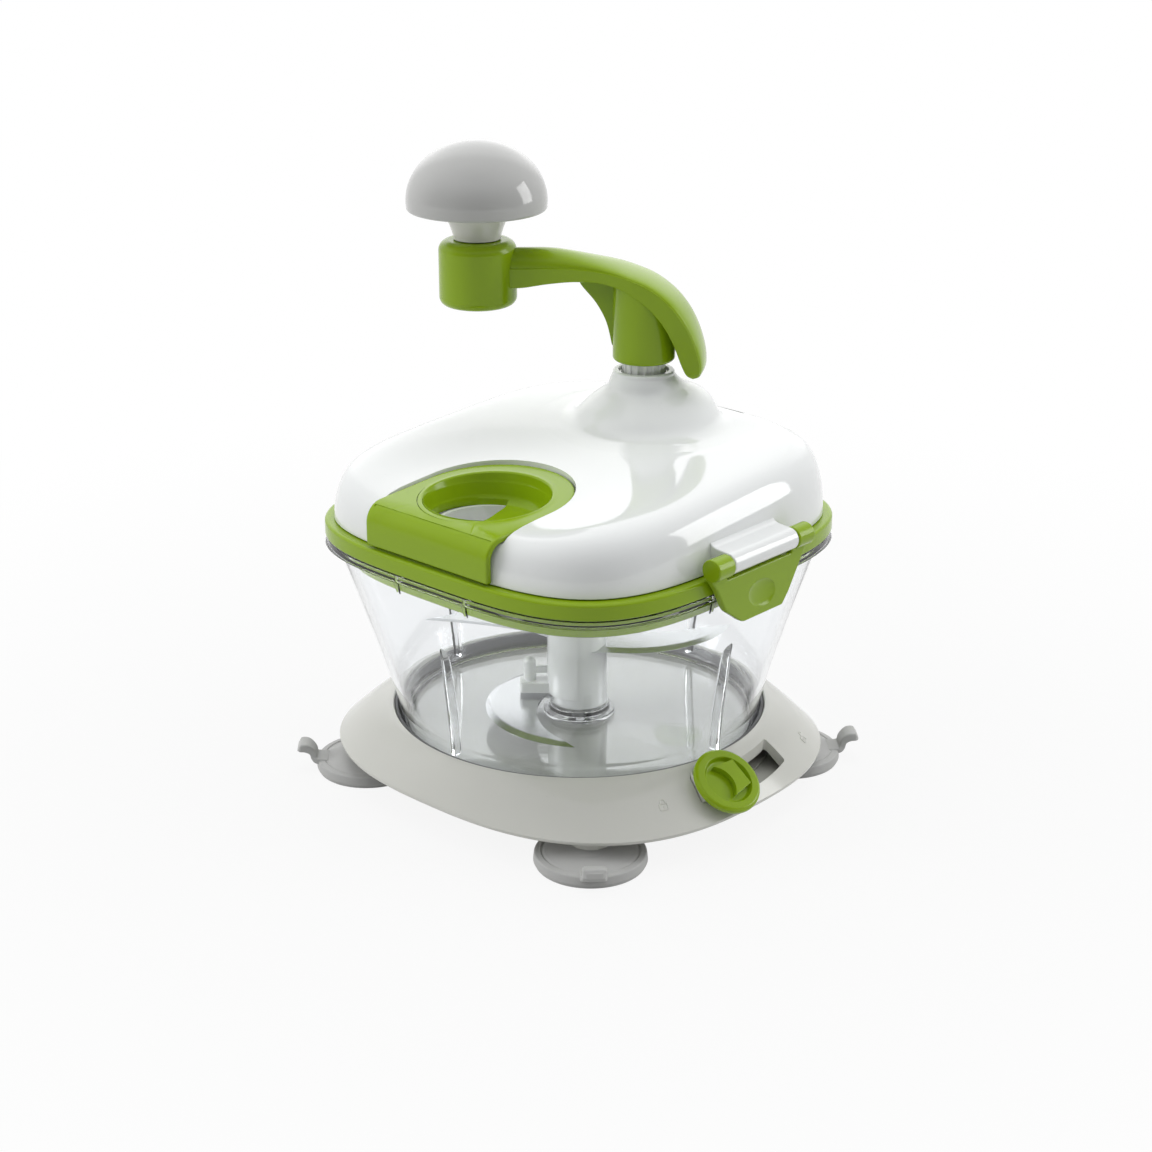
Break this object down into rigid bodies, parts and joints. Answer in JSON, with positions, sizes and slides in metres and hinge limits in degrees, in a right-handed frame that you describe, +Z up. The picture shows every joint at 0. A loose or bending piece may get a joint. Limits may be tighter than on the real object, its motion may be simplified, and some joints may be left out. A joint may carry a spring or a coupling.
{
  "type": "manual food chopper",
  "caption": "Hand-cranked food chopper: suction base with lever, clear bowl with blades on a pin, geared lid with side latches, feed cap and crank knob.",
  "frame": {"origin": "on the bowl's and blade hub's axis, in the plane of the suction cups' rims, which stand on the table", "axes": "+Z up along the bowl's axis; -Y towards the feed cap's front flap; +X towards the suction lever, across the two latches"},
  "size_m": [0.2021, 0.1808, 0.2575],
  "materials": {
    "green_plastic": "gloss lime green moulding",
    "white_plastic": "gloss white moulding",
    "grey_white_plastic": "satin warm light grey moulding",
    "knob_plastic": "gloss pale grey moulding",
    "clear_plastic": "clear moulding",
    "grey_rubber": "matte grey rubber",
    "dark_rubber": "matte black rubber",
    "steel": "polished steel"
  },
  "bodies": {
    "base": {"base_shell": "grey_white_plastic", "base_plate": "grey_white_plastic", "seat_ring": "dark_rubber", "suction_cup_1": "grey_rubber", "suction_cup_2": "grey_rubber", "suction_cup_3": "grey_rubber", "suction_cup_4": "grey_rubber", "base_screw_1": "steel", "base_screw_2": "steel", "base_screw_3": "steel", "base_screw_4": "steel"},
    "lever": {"suction_ring": "grey_white_plastic", "suction_knob": "green_plastic"},
    "bowl": {"bowl": "clear_plastic", "pivot_pin": "steel"},
    "blades": {"blade_hub": "white_plastic", "blade_carrier": "white_plastic", "blade_1": "steel", "blade_2": "steel", "blade_3": "steel"},
    "lid": {"lid_cover": "white_plastic", "lid_plate": "green_plastic", "lid_seal": "dark_rubber", "gear_bridge": "grey_white_plastic", "spindle_bush": "grey_white_plastic", "latch_pin_left": "steel", "latch_pin_right": "steel", "cover_screw_1": "steel", "cover_screw_2": "steel", "cover_screw_3": "steel", "cover_screw_4": "steel", "bridge_screw_1": "steel", "bridge_screw_2": "steel", "bridge_screw_3": "steel"},
    "latch_right": {"latch_right": "green_plastic"},
    "latch_left": {"latch_left": "green_plastic"},
    "cap": {"feed_cap": "green_plastic"},
    "crank": {"crank_arm": "green_plastic", "crank_spindle": "white_plastic", "drive_gear": "grey_white_plastic"},
    "knob": {"knob_dome": "knob_plastic", "knob_neck": "grey_white_plastic", "knob_axle": "steel"},
    "pinion": {"drive_pinion": "grey_white_plastic"},
    "plunger_1": {"suction_plunger_1": "grey_white_plastic"},
    "plunger_2": {"suction_plunger_2": "grey_white_plastic"},
    "plunger_3": {"suction_plunger_3": "grey_white_plastic"},
    "plunger_4": {"suction_plunger_4": "grey_white_plastic"}
  },
  "joints": [
    {"name": "lever_turn", "type": "hinge", "parent": "base", "child": "lever", "pos_m": [0, 0, 0.016], "axis": [0, 0, 1], "range_deg": [0, 17]},
    {"name": "bowl_lift", "type": "slide", "parent": "base", "child": "bowl", "axis": [0, 0, 1], "range_m": [0, 0.06]},
    {"name": "blade_spin", "type": "hinge", "parent": "bowl", "child": "blades", "pos_m": [0, 0, 0.05], "axis": [0, 0, 1], "continuous": true},
    {"name": "lid_lift", "type": "slide", "parent": "bowl", "child": "lid", "axis": [0, 0, 1], "range_m": [0, 0.15]},
    {"name": "latch_right_turn", "type": "hinge", "parent": "lid", "child": "latch_right", "pos_m": [0.092, 0, 0.121], "axis": [0, -1, 0], "range_deg": [0, 110]},
    {"name": "latch_left_turn", "type": "hinge", "parent": "lid", "child": "latch_left", "pos_m": [-0.092, 0, 0.121], "axis": [0, 1, 0], "range_deg": [0, 110]},
    {"name": "cap_lift", "type": "slide", "parent": "lid", "child": "cap", "axis": [0, 0, 1], "range_m": [0, 0.045]},
    {"name": "crank_turn", "type": "hinge", "parent": "lid", "child": "crank", "pos_m": [0, 0.0396, 0.175], "axis": [0, 0, 1], "continuous": true},
    {"name": "pinion_spin", "type": "hinge", "parent": "lid", "child": "pinion", "pos_m": [0, 0, 0.115], "axis": [0, 0, 1], "continuous": true},
    {"name": "knob_spin", "type": "hinge", "parent": "crank", "child": "knob", "pos_m": [-0.05812, 0.00186, 0.225], "axis": [0, 0, 1], "continuous": true},
    {"name": "plunger_1_slide", "type": "slide", "parent": "base", "child": "plunger_1", "axis": [0, 0, -1], "range_m": [0, 0.00161]},
    {"name": "plunger_2_slide", "type": "slide", "parent": "base", "child": "plunger_2", "axis": [0, 0, -1], "range_m": [0, 0.00161]},
    {"name": "plunger_3_slide", "type": "slide", "parent": "base", "child": "plunger_3", "axis": [0, 0, -1], "range_m": [0, 0.00161]},
    {"name": "plunger_4_slide", "type": "slide", "parent": "base", "child": "plunger_4", "axis": [0, 0, -1], "range_m": [0, 0.00161]}
  ],
  "couplings": [
    {"joint": "pinion_spin", "follows": "crank_turn", "ratio": -2},
    {"joint": "blade_spin", "follows": "crank_turn", "ratio": -2},
    {"joint": "plunger_1_slide", "follows": "lever_turn", "m_per_rad": 0.005393},
    {"joint": "plunger_2_slide", "follows": "lever_turn", "m_per_rad": 0.005393},
    {"joint": "plunger_3_slide", "follows": "lever_turn", "m_per_rad": 0.005393},
    {"joint": "plunger_4_slide", "follows": "lever_turn", "m_per_rad": 0.005393}
  ]
}
